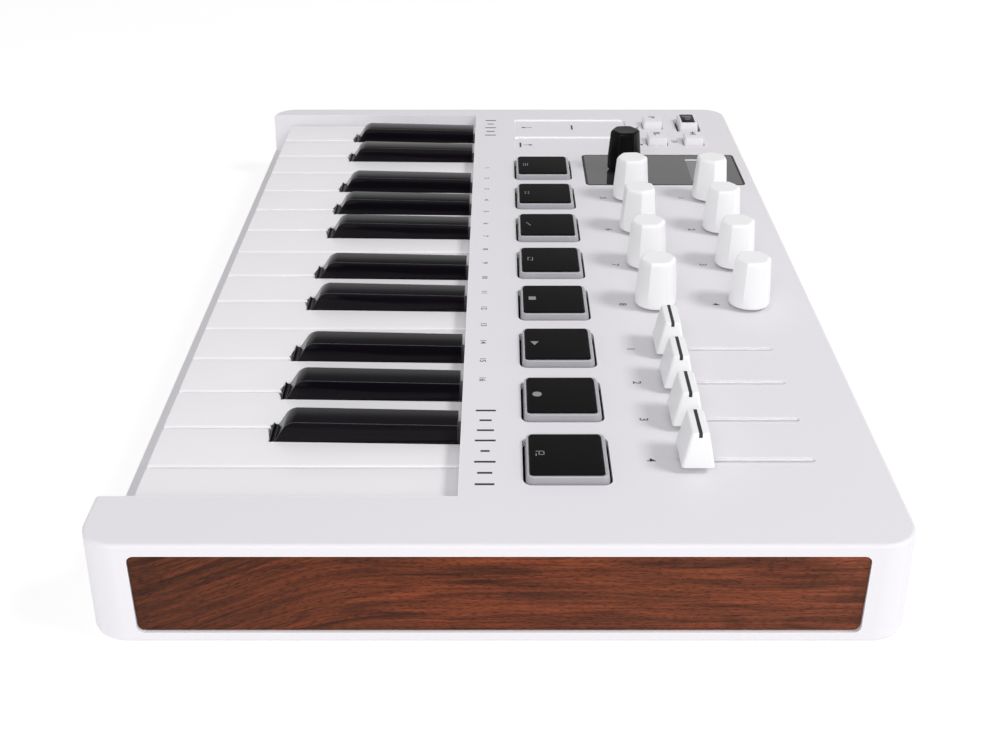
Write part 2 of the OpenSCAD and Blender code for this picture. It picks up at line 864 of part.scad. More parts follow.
top_case();
bottom_case();
wood_side_panels();
rubber_feet();
case_screws();
display_window();
control_board();
key_chassis();
key_contact_board();
for (i = [1:white_count])
    white_key(i - 1);
for (i = [1:black_count])
    black_key(i - 1);
for (i = [1:pad_count])
    pad(pad_count - i);
for (i = [1:knob_count])
    knob(i - 1);
browse_rotor();
browse_knob();
for (i = [1:fader_count])
    fader_cap(i - 1);
for (i = [1:button_count])
    button(i - 1);
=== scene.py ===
import math

import bmesh
import bpy
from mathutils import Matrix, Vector


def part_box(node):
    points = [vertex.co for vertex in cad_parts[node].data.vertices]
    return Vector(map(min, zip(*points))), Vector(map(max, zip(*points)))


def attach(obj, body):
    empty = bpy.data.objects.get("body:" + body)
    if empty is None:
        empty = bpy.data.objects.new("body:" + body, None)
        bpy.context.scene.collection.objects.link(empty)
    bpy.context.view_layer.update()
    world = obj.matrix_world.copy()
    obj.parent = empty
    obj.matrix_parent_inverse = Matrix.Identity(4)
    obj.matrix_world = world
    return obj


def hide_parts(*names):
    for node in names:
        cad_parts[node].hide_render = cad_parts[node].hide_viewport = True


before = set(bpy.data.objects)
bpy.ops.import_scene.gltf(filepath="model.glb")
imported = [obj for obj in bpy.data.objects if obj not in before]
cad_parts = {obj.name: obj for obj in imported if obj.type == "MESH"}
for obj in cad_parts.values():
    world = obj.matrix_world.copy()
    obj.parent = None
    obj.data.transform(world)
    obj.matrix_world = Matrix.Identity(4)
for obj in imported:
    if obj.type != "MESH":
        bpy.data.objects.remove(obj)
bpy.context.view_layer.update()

# Sizes are in millimetres, in the frame of the model, and MM turns them into Blender's metres.
MM = 0.001

# ---------------------------------------------------------------- sizes worked out from the frame


def box_mm(node):
    """Lowest and highest corner of a CAD node, in millimetres."""
    low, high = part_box(node)
    return Vector(low) / MM, Vector(high) / MM


def middle(node):
    """X and Y of the middle of a CAD node."""
    low, high = box_mm(node)
    return (low.x + high.x) / 2, (low.y + high.y) / 2


WHITE_KEYS = [f"white_key_{i}" for i in range(1, 16)]
BLACK_KEYS = [f"black_key_{i}" for i in range(1, 11)]
PADS = [f"pad_{i}" for i in range(1, 9)]
KNOBS = [f"knob_{i}" for i in range(1, 9)]
FADERS = [f"fader_cap_{i}" for i in range(1, 5)]
BUTTONS = [f"button_{i}" for i in range(1, 5)]

# Heights of the case's top face, of a white key's top, and of the lower end of its skirt
TOP = box_mm("top_case")[1].z
WHITE_TOP = box_mm(WHITE_KEYS[0])[1].z
WHITE_SKIRT = box_mm(WHITE_KEYS[0])[0].z
# Front edge of the control panel, and where the keys end under it
PANEL_FRONT = -11.2
KEY_REAR = PANEL_FRONT + 3.2
# The notches in the white keys: where they begin, and the gap beside a black key
NOTCH_FRONT = -68.6
NOTCH_GAP = 0.7
# The touch strips: the middle of each, and how deep they lie in the panel
FAR_STRIP_X = -151.2
NEAR_STRIP_X = -126.8
STRIP_DEPTH = 0.8
# Printed ink: how far it starts under the surface, and how thick it is
INK_Z = TOP - 0.01
INK_THICK = 0.03

# ---------------------------------------------------------------- outlines


def round_rect(cx, cy, w, d, r, steps=6):
    """Outline of a rounded rectangle, anticlockwise."""
    points = []
    for sx, sy, start in ((1, 1, 0), (-1, 1, 90), (-1, -1, 180), (1, -1, 270)):
        for k in range(steps + 1):
            a = math.radians(start + 90 * k / steps)
            x = cx + sx * (w / 2 - r) + r * math.cos(a)
            y = cy + sy * (d / 2 - r) + r * math.sin(a)
            points.append((x, y))
    return points


def bar(x, y, w, d):
    """Outline of a rectangle around its middle."""
    return rect(x - w / 2, y - d / 2, x + w / 2, y + d / 2)


def rect(x0, y0, x1, y1):
    """Outline of a rectangle between two corners."""
    return [(x0, y0), (x1, y0), (x1, y1), (x0, y1)]


def disc(r, sides):
    """Outline of a disc around the origin."""
    turns = [2 * math.pi * k / sides for k in range(sides)]
    return [(r * math.cos(a), r * math.sin(a)) for a in turns]


def scaled(outline, scale, cx, cy):
    """An outline that was drawn around the origin, scaled and moved to a middle."""
    return [(cx + scale * x, cy + scale * y) for x, y in outline]


# ---------------------------------------------------------------- mesh helpers


def ring(outline, z):
    """An outline laid at a height."""
    return [Vector((x, y, z)) for x, y in outline]


def loft(bm, rings):
    """Joins rings that have the same number of points, and closes both ends."""
    rows = [[bm.verts.new(p) for p in one] for one in rings]
    count = len(rows[0])
    for low, high in zip(rows, rows[1:]):
        for k in range(count):
            n = (k + 1) % count
            bm.faces.new((low[k], low[n], high[n], high[k]))
    bm.faces.new(list(reversed(rows[0])))
    bm.faces.new(rows[-1])


def plate(bm, outline, z0, z1):
    """Straight plate between two heights."""
    loft(bm, [ring(outline, z0), ring(outline, z1)])


def quarter(steps):
    """Inset and rise along a rounded edge of radius 1, from just past its side to its top."""
    turns = [math.radians(90 * k / steps) for k in range(1, steps + 1)]
    return [(1 - math.cos(a), math.sin(a)) for a in turns]


def fillet_rings(shape, z_side, z_top, r, steps=4):
    """Rings that round the top edge of a block. shape(inset) gives the outline at an inset."""
    rounded = [ring(shape(r * inset), z_top - r + r * rise) for inset, rise in quarter(steps)]
    return [ring(shape(0), z_side)] + rounded


def bevel_edges(bm, edges, width, segments):
    """Rounds some edges."""
    bmesh.ops.bevel(
        bm, geom=list(edges), offset=width, segments=segments,
        affect="EDGES", profile=0.5, clamp_overlap=True,
    )


def new_object(name, mesh, material):
    """A mesh object with one material, linked to the scene."""
    piece = bpy.data.objects.new(name, mesh)
    bpy.context.scene.collection.objects.link(piece)
    piece.data.materials.append(material)
    return piece


def finish_mesh(bm, name, material, smooth_angle=30):
    """Writes a bmesh in millimetres to an object in metres, with smooth shading up to an angle."""
    bmesh.ops.remove_doubles(bm, verts=bm.verts, dist=1e-4)
    bmesh.ops.recalc_face_normals(bm, faces=bm.faces)
    bmesh.ops.scale(bm, vec=(MM, MM, MM), verts=bm.verts)
    limit = math.radians(smooth_angle)
    for face in bm.faces:
        face.smooth = True
    for edge in bm.edges:
        if len(edge.link_faces) == 2 and edge.calc_face_angle() > limit:
            edge.smooth = False
    mesh = bpy.data.meshes.new(name)
    bm.to_mesh(mesh)
    bm.free()
    return new_object(name, mesh, material)


def place(pieces, body, node=None):
    """Lets pieces ride on a body, and hides the CAD node that they replace, if one is named."""
    for piece in pieces:
        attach(piece, body)
    if node:
        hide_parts(node)


# ---------------------------------------------------------------- material helpers

WHITE = (1, 1, 1)


def grey(level):
    """A neutral colour."""
    return (level, level, level)


class Nodes:
    """A short way to build a node material. A value may be a plain value or the output of a node."""

    def __init__(self, name):
        self.material = bpy.data.materials.new(name)
        self.material.use_nodes = True
        self.tree = self.material.node_tree
        self.shader = self.tree.nodes["Principled BSDF"]
        self.coords = self.tree.nodes.new("ShaderNodeTexCoord").outputs["Object"]

    def add(self, kind, **values):
        """A node with some of its properties or inputs set."""
        node = self.tree.nodes.new(kind)
        for key, value in values.items():
            if hasattr(node, key):
                setattr(node, key, value)
            else:
                self.feed(node.inputs[key.replace("_", " ")], value)
        return node

    def feed(self, socket, value):
        """Links a socket to an output, or sets its value."""
        if isinstance(value, bpy.types.NodeSocket):
            self.tree.links.new(value, socket)
        elif socket.type == "RGBA":
            socket.default_value = (*value, 1)
        else:
            socket.default_value = value

    def set(self, **values):
        """Inputs of the shader."""
        for key, value in values.items():
            self.feed(self.shader.inputs[key.replace("_", " ")], value)

    def stretched(self, scale, vector=None):
        """Coordinates scaled by three factors."""
        return self.add("ShaderNodeMapping", Vector=vector or self.coords, Scale=scale).outputs["Vector"]

    def noise(self, scale, detail=3.0, vector=None, distortion=0.0):
        """Noise from 0 to 1."""
        node = self.add("ShaderNodeTexNoise", Scale=scale, Detail=detail, Distortion=distortion)
        self.feed(node.inputs["Vector"], vector or self.coords)
        return node.outputs["Fac"]

    def ramp(self, value, stops):
        """Colour that changes with a value, from stops of position and colour."""
        node = self.add("ShaderNodeValToRGB", Fac=value)
        elements = node.color_ramp.elements
        while len(elements) < len(stops):
            elements.new(0.5)
        for element, (position, colour) in zip(elements, stops):
            element.position = position
            element.color = (*colour, 1)
        return node.outputs["Color"]

    def spread(self, value, low, high, start=0.0, end=1.0, kind="LINEAR"):
        """Maps start..end to low..high."""
        node = self.add("ShaderNodeMapRange", interpolation_type=kind, Value=value)
        for socket, number in (("From Min", start), ("From Max", end), ("To Min", low), ("To Max", high)):
            node.inputs[socket].default_value = number
        return node.outputs["Result"]

    def calculate(self, operation, *values):
        """Result of an operation on one or two values."""
        node = self.add("ShaderNodeMath", operation=operation)
        for socket, value in zip(node.inputs, values):
            self.feed(socket, value)
        return node.outputs["Value"]

    def mix(self, factor, a, b, blend="MIX"):
        """Mixes two colours."""
        node = self.add("ShaderNodeMix", data_type="RGBA", blend_type=blend)
        factor_in, a_in, b_in = node.inputs[0], node.inputs[6], node.inputs[7]
        for socket, value in ((factor_in, factor), (a_in, a), (b_in, b)):
            self.feed(socket, value)
        return node.outputs[2]

    def bump(self, height, depth, strength):
        """Relief of a depth in millimetres."""
        node = self.add("ShaderNodeBump", Strength=strength, Distance=depth * MM, Height=height)
        self.set(Normal=node.outputs["Normal"])

    def painted_edge_highlight(self, colour, highlight_colour, radius=0.35):
        """Painted highlight: colour that shifts towards another, lighter one on sharp and rounded edges,
        in place of the light that the edges catch.
        """
        bevel = self.add("ShaderNodeBevel", samples=4, Radius=radius * MM)
        turn = self.add("ShaderNodeVectorMath", operation="DOT_PRODUCT")
        self.feed(turn.inputs[0], self.add("ShaderNodeNewGeometry").outputs["Normal"])
        self.feed(turn.inputs[1], bevel.outputs["Normal"])
        # Where the bevelled normal turns away from the true one, the painted highlight takes over
        edge = self.ramp(turn.outputs["Value"], [(0.8, WHITE), (0.99, grey(0))])
        return self.mix(edge, colour, highlight_colour)


# ---------------------------------------------------------------- materials


def moulded(name, colour, tint, edge=None, rough=0.5, uneven=0.04, grain=1500, depth=0.01, specular=0.5):
    """Moulded plastic or rubber: fine grain in the surface, slight change of tint and of roughness, and a
    painted highlight in the edge colour along sharp and rounded edges.
    """
    n = Nodes(name)
    tint_patches, gloss_patches = n.noise(18, 2), n.noise(90, 4)
    n.set(
        Base_Color=n.painted_edge_highlight(n.mix(tint_patches, colour, tint), edge or tint),
        Roughness=n.spread(gloss_patches, rough - uneven, rough + uneven),
        Specular_IOR_Level=specular,
    )
    n.bump(n.noise(grain, 2), depth, 0.6)
    return n


def case_white():
    """The case's plastic, with a fine matte texture."""
    return moulded(
        # The edge colour is a painted highlight along the case's edges
        "case_white", (0.775, 0.757, 0.79), (0.785, 0.767, 0.8), edge=(0.97, 0.965, 0.975),
        rough=0.5, grain=2600, depth=0.015, specular=0.35,
    ).material


def painted_lit_wall():
    """The case's plastic in the walls of its cut-outs: smoother, and painted brighter than the case to
    stand in for the light on walls that face the right-hand end.
    """
    return moulded(
        "painted_lit_wall", (0.97, 0.965, 0.975), (0.98, 0.975, 0.985),
        rough=0.4, grain=2600, depth=0.01, specular=0.35,
    ).material


def key_white():
    return moulded(
        # The edge colour is a painted highlight along the key's edges
        "key_white", (0.885, 0.865, 0.895), (0.895, 0.875, 0.905), edge=WHITE,
        rough=0.3, uneven=0.01, grain=600, depth=0.0015, specular=0.4,
    ).material


def key_black():
    return moulded(
        # The edge colour is a painted highlight along the black key's edges
        "key_black", (0.004, 0.003, 0.005), (0.0055, 0.0043, 0.0065), edge=(0.16, 0.157, 0.165),
        rough=0.14, uneven=0.02, grain=500, depth=0.003, specular=0.14,
    ).material


def pad_tile():
    return moulded(
        # The edge colour is a painted highlight along the tile's edges
        "pad_tile", (0.004, 0.0037, 0.0044), (0.005, 0.0047, 0.0055), edge=(0.02, 0.02, 0.021),
        rough=0.6, grain=1800, depth=0.012, specular=0.07,
    ).material


def pad_frame():
    """Silicone that lets some light through."""
    n = moulded(
        # The edge colour is a painted highlight along the frame's edges
        "pad_frame", (0.385, 0.38, 0.41), (0.42, 0.415, 0.445), edge=(0.85, 0.85, 0.87),
        rough=0.3, grain=1500, depth=0.006, specular=0.5,
    )
    n.set(Subsurface_Weight=0.2, Subsurface_Radius=WHITE, Subsurface_Scale=2 * MM)
    return n.material


def knob_white():
    return moulded(
        # The edge colour is a painted highlight along the knob's edges
        "knob_white", (0.87, 0.865, 0.88), (0.88, 0.875, 0.89), edge=WHITE,
        rough=0.42, grain=2200, depth=0.006, specular=0.4,
    ).material


def knob_black():
    return moulded(
        # The edge colour is a painted highlight along the knob's edges
        "knob_black", (0.003, 0.0028, 0.0034), (0.004, 0.0038, 0.0045), edge=(0.06, 0.059, 0.063),
        rough=0.25, grain=2200, depth=0.006, specular=0.07,
    ).material


def foot_rubber():
    return moulded(
        "foot_rubber", grey(0.018), grey(0.028), rough=0.75, grain=1200, depth=0.05, specular=0.3
    ).material


def chassis_grey():
    return moulded("chassis_grey", (0.3, 0.3, 0.31), (0.34, 0.34, 0.35), rough=0.5, depth=0.02).material


def socket_black():
    return moulded(
        "socket_black", (0.012, 0.012, 0.013), grey(0.02), rough=0.35, grain=1800, depth=0.01
    ).material


def window_grey():
    """Smoked acrylic that mirrors the white surroundings, with fine polishing lines."""
    n = Nodes("window_grey")
    lines = n.noise(300, 4, n.stretched((1, 12, 1)))
    n.set(
        Base_Color=n.mix(n.noise(60), (0.028, 0.027, 0.029), (0.033, 0.032, 0.034)),
        Roughness=n.spread(lines, 0.04, 0.07),
        Specular_IOR_Level=0.78,
    )
    n.bump(n.noise(50), 0.001, 0.1)
    return n.material


def printed_ink(name, colour):
    """Silk-screened ink: slightly uneven, matte."""
    n = Nodes(name)
    lighter = tuple(c * 1.25 + 0.01 for c in colour)
    n.set(
        Base_Color=n.mix(n.noise(900, 3), colour, lighter),
        Roughness=n.spread(n.noise(400), 0.45, 0.65),
    )
    n.bump(n.noise(1500), 0.003, 0.4)
    return n.material


def screw_steel():
    """Zinc plated metal with fine lines."""
    n = Nodes("screw_steel")
    colour = (0.55, 0.55, 0.57)
    lines = n.noise(900, 4, n.stretched((1, 1, 8)))
    n.set(
        Base_Color=n.mix(n.noise(80), colour, tuple(c * 0.85 for c in colour)),
        Roughness=n.spread(lines, 0.27, 0.43),
        Metallic=1.0,
    )
    n.bump(n.noise(900, 2), 0.003, 0.4)
    return n.material


def circuit_board():
    """Green solder mask with a faint pattern of tracks."""
    n = Nodes("circuit_board")
    tracks = n.add("ShaderNodeTexBrick", Scale=60.0, Vector=n.coords)
    n.set(
        Base_Color=n.mix(n.noise(120), (0.01, 0.11, 0.04), (0.015, 0.16, 0.06)),
        Roughness=n.spread(n.noise(200), 0.25, 0.4),
    )
    n.bump(tracks.outputs["Fac"], 0.02, 0.3)
    return n.material


def wood_colour(n, x, y, z):
    """Colour of the wood, and the noises of its fine streaks and of its fibres."""
    # The grain drops towards the front end
    drop = n.spread(y, 0.0, 0.024, start=-0.03, end=-0.115, kind="SMOOTHSTEP")
    bent = n.add("ShaderNodeCombineXYZ", X=x, Y=y, Z=n.calculate("ADD", z, drop)).outputs["Vector"]

    def drawn_out(scale_y, scale_z, detail, distortion=0.0):
        """Noise drawn out along the grain."""
        return n.noise(1.0, detail, n.stretched((1, scale_y, scale_z), bent), distortion)

    rings_across = 13.0
    year = n.calculate("FRACT", n.calculate("MULTIPLY", drawn_out(7, 75, 2), rings_across))
    streaks, fibres = drawn_out(60, 1700, 5, 0.3), drawn_out(520, 3400, 3)
    along = n.spread(y, 0, 1, start=-0.1, end=0.1)
    deep, brown, red = (0.075, 0.024, 0.0125), (0.15, 0.042, 0.0185), (0.235, 0.062, 0.026)
    dark_streak, late_wood = (0.55, 0.55, 0.58), (0.62, 0.6, 0.6)
    dark_fibre, pale_fibre = (0.42, 0.4, 0.4), (1.25, 1.3, 1.4)
    dark_end, mid_tone, pale_end = (0.54, 0.52, 0.46), (0.91, 0.76, 0.63), (0.97, 0.94, 0.95)

    base = n.ramp(drawn_out(20, 320, 4, 0.5), [(0.32, deep), (0.47, brown), (0.68, red)])
    for share, value, stops in (
        (0.7, streaks, [(0.33, dark_streak), (0.5, WHITE), (0.68, grey(1.4))]),
        (0.85, year, [(0.0, late_wood), (0.3, WHITE), (0.8, WHITE), (1.0, late_wood)]),
        (0.85, fibres, [(0.36, dark_fibre), (0.48, WHITE), (0.62, WHITE), (0.7, pale_fibre)]),
        (1.0, along, [(0.0, dark_end), (0.45, mid_tone), (1.0, pale_end)]),
    ):
        base = n.mix(share, base, n.ramp(value, stops), "MULTIPLY")
    pores = n.ramp(drawn_out(1500, 3000, 2), [(0.72, grey(0)), (0.79, grey(0.5))])
    return n.mix(pores, base, (0.42, 0.24, 0.17)), streaks, fibres


def rosewood():
    """Red-brown wood with a satin finish: fine grain along Y, with small open pores."""
    n = Nodes("rosewood")
    split = n.add("ShaderNodeSeparateXYZ", Vector=n.coords)
    colour, streaks, fibres = wood_colour(n, *split.outputs)
    n.set(Base_Color=colour, Roughness=n.spread(streaks, 0.5, 0.65), Specular_IOR_Level=0.15)
    n.bump(fibres, 0.03, 0.4)
    return n.material


MAT = {
    "case": case_white(),
    "painted_lit_wall": painted_lit_wall(),
    "key_white": key_white(),
    "key_black": key_black(),
    "tile": pad_tile(),
    "frame": pad_frame(),
    "knob_white": knob_white(),
    "knob_black": knob_black(),
    "window": window_grey(),
    "ink": printed_ink("ink_black", (0.012, 0.012, 0.015)),
    "icon": printed_ink("icon_light", (0.23, 0.232, 0.25)),
    "screen": printed_ink("screen_grey", (0.21, 0.21, 0.22)),
    "lit": printed_ink("screen_white", (0.93, 0.93, 0.94)),
    "wood": rosewood(),
    "steel": screw_steel(),
    "rubber": foot_rubber(),
    "board": circuit_board(),
    "chassis": chassis_grey(),
    "socket": socket_black(),
}

# ---------------------------------------------------------------- pieces that keep their CAD mesh


def shade(piece, angle=35):
    """Smooth shading up to an angle on a CAD node."""
    bpy.context.view_layer.objects.active = piece
    piece.select_set(True)
    bpy.ops.object.shade_smooth_by_angle(angle=math.radians(angle), keep_sharp_edges=False)
    piece.select_set(False)


def soften(piece, width, segments, angle=40):
    """Rounds the sharp edges of a CAD node with modifiers, and leaves its own mesh alone."""
    weld = piece.modifiers.new("weld", "WELD")
    weld.merge_threshold = 0.002 * MM
    flat = piece.modifiers.new("flat", "DECIMATE")
    flat.decimate_type = "DISSOLVE"
    flat.angle_limit = math.radians(0.5)
    bevel = piece.modifiers.new("bevel", "BEVEL")
    bevel.width = width * MM
    bevel.segments = segments
    bevel.limit_method = "ANGLE"
    bevel.angle_limit = math.radians(angle)
    bevel.use_clamp_overlap = True
    normals = piece.modifiers.new("normals", "WEIGHTED_NORMAL")
    normals.keep_sharp = True


def dress_cad(node, *materials, bevel=0.0, segments=2):
    """Gives a CAD node its materials, and rounds its edges if a bevel is asked for."""
    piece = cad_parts[node]
    piece.data.materials.clear()
    for material in materials:
        piece.data.materials.append(material)
    shade(piece)
    if bevel:
        soften(piece, bevel, segments)
    return piece


def dress_case():
    """Both shells. The cut-outs' walls that face the right-hand end take the smoother plastic, which is
    painted brighter to stand in for the light on them.
    """
    dress_cad("bottom_case", MAT["case"], bevel=0.25)
    top_case = dress_cad("top_case", MAT["case"], MAT["painted_lit_wall"], bevel=0.25)
    inner_half_width, deepest = 160, TOP - 2
    for face in top_case.data.polygons:
        x, y, z = face.center / MM
        in_panel = abs(x) < inner_half_width and y > 0 and deepest < z < TOP - 0.02
        # Walls that face the right-hand end get the brighter plastic: painted light
        if in_panel and face.normal.x > 0.5:
            face.material_index = 1


def dress_control_board():
    """Green board, steel encoders and USB shell, and black switches and sockets, told apart by place."""
    piece = dress_cad("control_board", MAT["board"], MAT["steel"], MAT["socket"])
    board_top = TOP - 12
    board_under = board_top - 1.6
    board_rear = box_mm("control_board")[1].y - 4
    encoders_front, encoders_left, usb_right = 30, -110, -130
    for face in piece.data.polygons:
        x, y, z = face.center / MM
        if board_under - 0.1 < z < board_top + 0.03 and y < board_rear:
            continue
        encoder = y > encoders_front and x > encoders_left and z > board_top
        usb = x < usb_right and z < board_top
        face.material_index = 1 if encoder or usb else 2


def dress_inner_parts():
    """Feet, screws and the parts under the keys and the browse knob."""
    dress_cad("rubber_feet", MAT["rubber"], bevel=0.4, segments=3)
    dress_cad("case_screws", MAT["steel"])
    dress_cad("key_chassis", MAT["chassis"])
    dress_cad("key_contact_board", MAT["board"])
    dress_cad("browse_rotor", MAT["steel"])


# ---------------------------------------------------------------- wooden end panels


def wood_panels():
    """Both end panels as rounded plates with eased edges."""
    low, high = box_mm("wood_side_panels")
    cy, cz = (low.y + high.y) / 2, (low.z + high.z) / 2
    thick, corner, ease = 1.5, 1.85, 0.35

    def shape(inset):
        w, d = high.y - low.y - 2 * inset, high.z - low.z - 2 * inset
        return round_rect(cy, cz, w, d, corner - inset)

    lying = [ring(shape(0), 0)] + fillet_rings(shape, thick - ease, thick, ease)
    bm = bmesh.new()
    for side, face_x in ((-1, low.x), (1, high.x)):
        loft(bm, [[Vector((face_x - side * (thick - p.z), p.x, p.y)) for p in one] for one in lying])
    piece = finish_mesh(bm, "wood_panels", MAT["wood"], 35)
    place([piece], "case", "wood_side_panels")


# ---------------------------------------------------------------- keys


def black_beside(x):
    """The middles of the black keys whose notch reaches the white keys' edge at x."""
    reach = 5
    return [bx for bx in (middle(b)[0] for b in BLACK_KEYS) if abs(bx - x) < reach]


def white_outline(node):
    """Plan of a white key with its notches, anticlockwise from the front left."""
    low, high = box_mm(node)
    black_low, black_high = box_mm(BLACK_KEYS[0])
    half = (black_high.x - black_low.x) / 2 + NOTCH_GAP
    left = [(low.x, KEY_REAR)]
    for bx in black_beside(low.x):
        left = [(bx + half, KEY_REAR), (bx + half, NOTCH_FRONT), (low.x, NOTCH_FRONT)]
    right = [(high.x, KEY_REAR)]
    for bx in black_beside(high.x):
        right = [(high.x, NOTCH_FRONT), (bx - half, NOTCH_FRONT), (bx - half, KEY_REAR)]
    return [(low.x, low.y), (high.x, low.y)] + right + left


def white_key_edges(bm):
    """The edges of a white key that are rounded: along its top, and its two front uprights."""
    top, upright = [], []
    for edge in bm.edges:
        a, b = edge.verts[0].co, edge.verts[1].co
        if abs(a.z - b.z) > 1:
            if a.y < NOTCH_FRONT - 1:
                upright.append(edge)
        elif a.z > WHITE_TOP - 0.1 and min(a.y, b.y) < KEY_REAR - 1:
            top.append(edge)
    return top + upright


def white_key(node):
    """White key: a shell that is open below, with eased top and front edges."""
    wall, roof_thick, ease = 1.6, 2, 0.8
    bm = bmesh.new()
    plate(bm, white_outline(node), WHITE_SKIRT, WHITE_TOP)
    bevel_edges(bm, white_key_edges(bm), ease, 4)
    underside = min(bm.faces, key=lambda face: face.calc_center_median().z)
    bmesh.ops.inset_region(bm, faces=[underside], thickness=wall, use_even_offset=True)
    roof = bmesh.ops.extrude_discrete_faces(bm, faces=[underside])["faces"][0]
    bmesh.ops.translate(bm, verts=roof.verts, vec=(0, 0, WHITE_TOP - roof_thick - WHITE_SKIRT))
    place([finish_mesh(bm, node + "_body", MAT["key_white"])], node, node)


BLACK_FOOT_Z = WHITE_TOP - 0.3
BLACK_REAR = PANEL_FRONT - 0.9


def black_key_blade(bm, cx, half, front, top):
    """The raised part of a black key: it narrows upwards behind a sloping front, with rounded edges."""
    top_half, slope_foot, slope_head = 4.35, front + 1.4, front + 5.7

    def section(width, front_y, front_z, back_z):
        return [
            Vector((cx - width, front_y, front_z)), Vector((cx + width, front_y, front_z)),
            Vector((cx + width, BLACK_REAR, back_z)), Vector((cx - width, BLACK_REAR, back_z)),
        ]

    def is_front_top(a, b):
        """The edge across the head of the slope."""
        return min(a.z, b.z) > TOP - 0.1 and max(a.y, b.y) < BLACK_REAR - 1

    def is_corner(a, b):
        """The long edges along the top, and the two edges down the slope."""
        same_side = (a.x - cx) * (b.x - cx) > 0
        raised = min(a.z, b.z) > BLACK_FOOT_Z - 0.1 and max(a.z, b.z) > TOP
        return same_side and raised and abs(a.y - b.y) > 0.01

    foot_section = section(half, slope_foot, BLACK_FOOT_Z, BLACK_FOOT_Z)
    loft(bm, [foot_section, section(top_half, slope_head, top, TOP + 0.2)])
    for chosen, width, segments in ((is_front_top, 2.4, 8), (is_corner, 0.45, 3)):
        edges = [edge for edge in bm.edges if chosen(*(v.co for v in edge.verts))]
        bevel_edges(bm, edges, width, segments)


def black_key_foot(bm, cx, half, front):
    """The foot of a black key, with a lip at its front end that curves down into the slope."""
    under = WHITE_TOP - 10.5
    profile = [
        (front, under), (front, WHITE_TOP - 0.1), (front + 0.1, WHITE_TOP + 0.5),
        (front + 0.3, WHITE_TOP + 0.6), (front + 0.6, WHITE_TOP + 0.1),
        (front + 1.0, BLACK_FOOT_Z + 0.1), (front + 1.6, BLACK_FOOT_Z + 0.05),
        (BLACK_REAR, BLACK_FOOT_Z + 0.1), (BLACK_REAR, under),
    ]
    loft(bm, [[Vector((cx + side * (half - 0.02), y, z)) for y, z in profile] for side in (-1, 1)])


def black_key(node):
    """Black key: a foot that fills the notch, and a raised part on it."""
    low, high = box_mm(node)
    cx, half = (low.x + high.x) / 2, (high.x - low.x) / 2
    bm = bmesh.new()
    black_key_blade(bm, cx, half, low.y, high.z)
    black_key_foot(bm, cx, half, low.y)
    place([finish_mesh(bm, node + "_body", MAT["key_black"], 32)], node, node)


# ---------------------------------------------------------------- pads

# Generic marks, drawn around the origin at about 2 mm across
PAD_ICONS = {
    "bars": [rect(-1.1, 0.55, 1.1, 0.75), rect(-1.1, -0.1, 1.1, 0.1), rect(-1.1, -0.75, 1.1, -0.55)],
    "dots": [rect(x - 0.22, y - 0.22, x + 0.22, y + 0.22) for x in (-0.6, 0.6) for y in (-0.5, 0.5)],
    "steps": [rect(-1.2, -0.6, -0.4, -0.35), rect(-0.4, -0.15, 0.4, 0.1), rect(0.4, 0.3, 1.2, 0.55)],
    "loop": [
        rect(-1.1, 0.55, 1.1, 0.75), rect(-1.1, -0.75, 1.1, -0.55),
        rect(-1.1, -0.55, -0.9, 0.1), rect(0.9, -0.1, 1.1, 0.55),
    ],
    "stop": [rect(-0.95, -0.95, 0.95, 0.95)],
    "play": [[(-0.8, -1.05), (1.15, 0), (-0.8, 1.05)]],
    "record": [disc(1.1, 24)],
    "tap": [
        rect(-0.95, -0.95, -0.75, 0.95), rect(-0.95, 0.75, 0.6, 0.95), rect(0.4, -0.2, 0.6, 0.95),
        rect(-0.95, -0.3, 0.6, -0.1), rect(0.0, -0.95, 1.0, -0.75),
    ],
}
ICON_SCALE = 1.3
PAD_WIDTH = 23.3
TILE_WIDTH = 20.6
TILE_SHIFT = -0.2


def pad_collar(node):
    """The pad's light frame: a rounded block with an opening for the tile."""
    cx, cy = middle(node)
    rim_z, round_r, opening = TOP + 1.9, 0.45, TILE_WIDTH + 0.3

    def outer(inset):
        return round_rect(cx, cy, PAD_WIDTH - inset, PAD_WIDTH - 0.25 - inset * 0.6, 1.95, 8)

    def inner(grow):
        return round_rect(cx, cy + TILE_SHIFT, opening + 2 * grow, opening + 2 * grow, 1.1 + grow, 8)

    foot = round_rect(cx, cy, PAD_WIDTH, PAD_WIDTH, 2.0, 8)
    rings = [ring(foot, TOP - 2.9), ring(foot, TOP + 0.1)]
    for inset, rise in [(0, 0)] + quarter(4):
        rings.append(ring(outer(0.7 + round_r * inset), rim_z - round_r + round_r * rise))
    rings += [ring(inner(0.12), rim_z), ring(inner(0), rim_z - 0.15), ring(inner(0), TOP + 0.9)]
    bm = bmesh.new()
    loft(bm, rings)
    return finish_mesh(bm, node + "_frame", MAT["frame"], 40)


def pad_tile_piece(node):
    """The pad's black tile, with an eased top edge."""
    cx, cy = middle(node)
    tile_top, ease = box_mm(node)[1].z, 0.4

    def shape(inset):
        width = TILE_WIDTH - 2 * inset
        return round_rect(cx, cy + TILE_SHIFT, width, width, 1.0 - inset * 0.5, 8)

    bm = bmesh.new()
    loft(bm, [ring(shape(0), TOP + 0.95)] + fillet_rings(shape, tile_top - ease, tile_top, ease))
    return finish_mesh(bm, node + "_tile", MAT["tile"], 40)


def pad_flange(node):
    """The wider plate under the panel that keeps the pad in."""
    cx, cy = middle(node)
    width = PAD_WIDTH + 3.9
    bm = bmesh.new()
    plate(bm, round_rect(cx, cy, width, width, 2.0, 8), TOP - 3.9, TOP - 3.05)
    return finish_mesh(bm, node + "_flange", MAT["tile"])


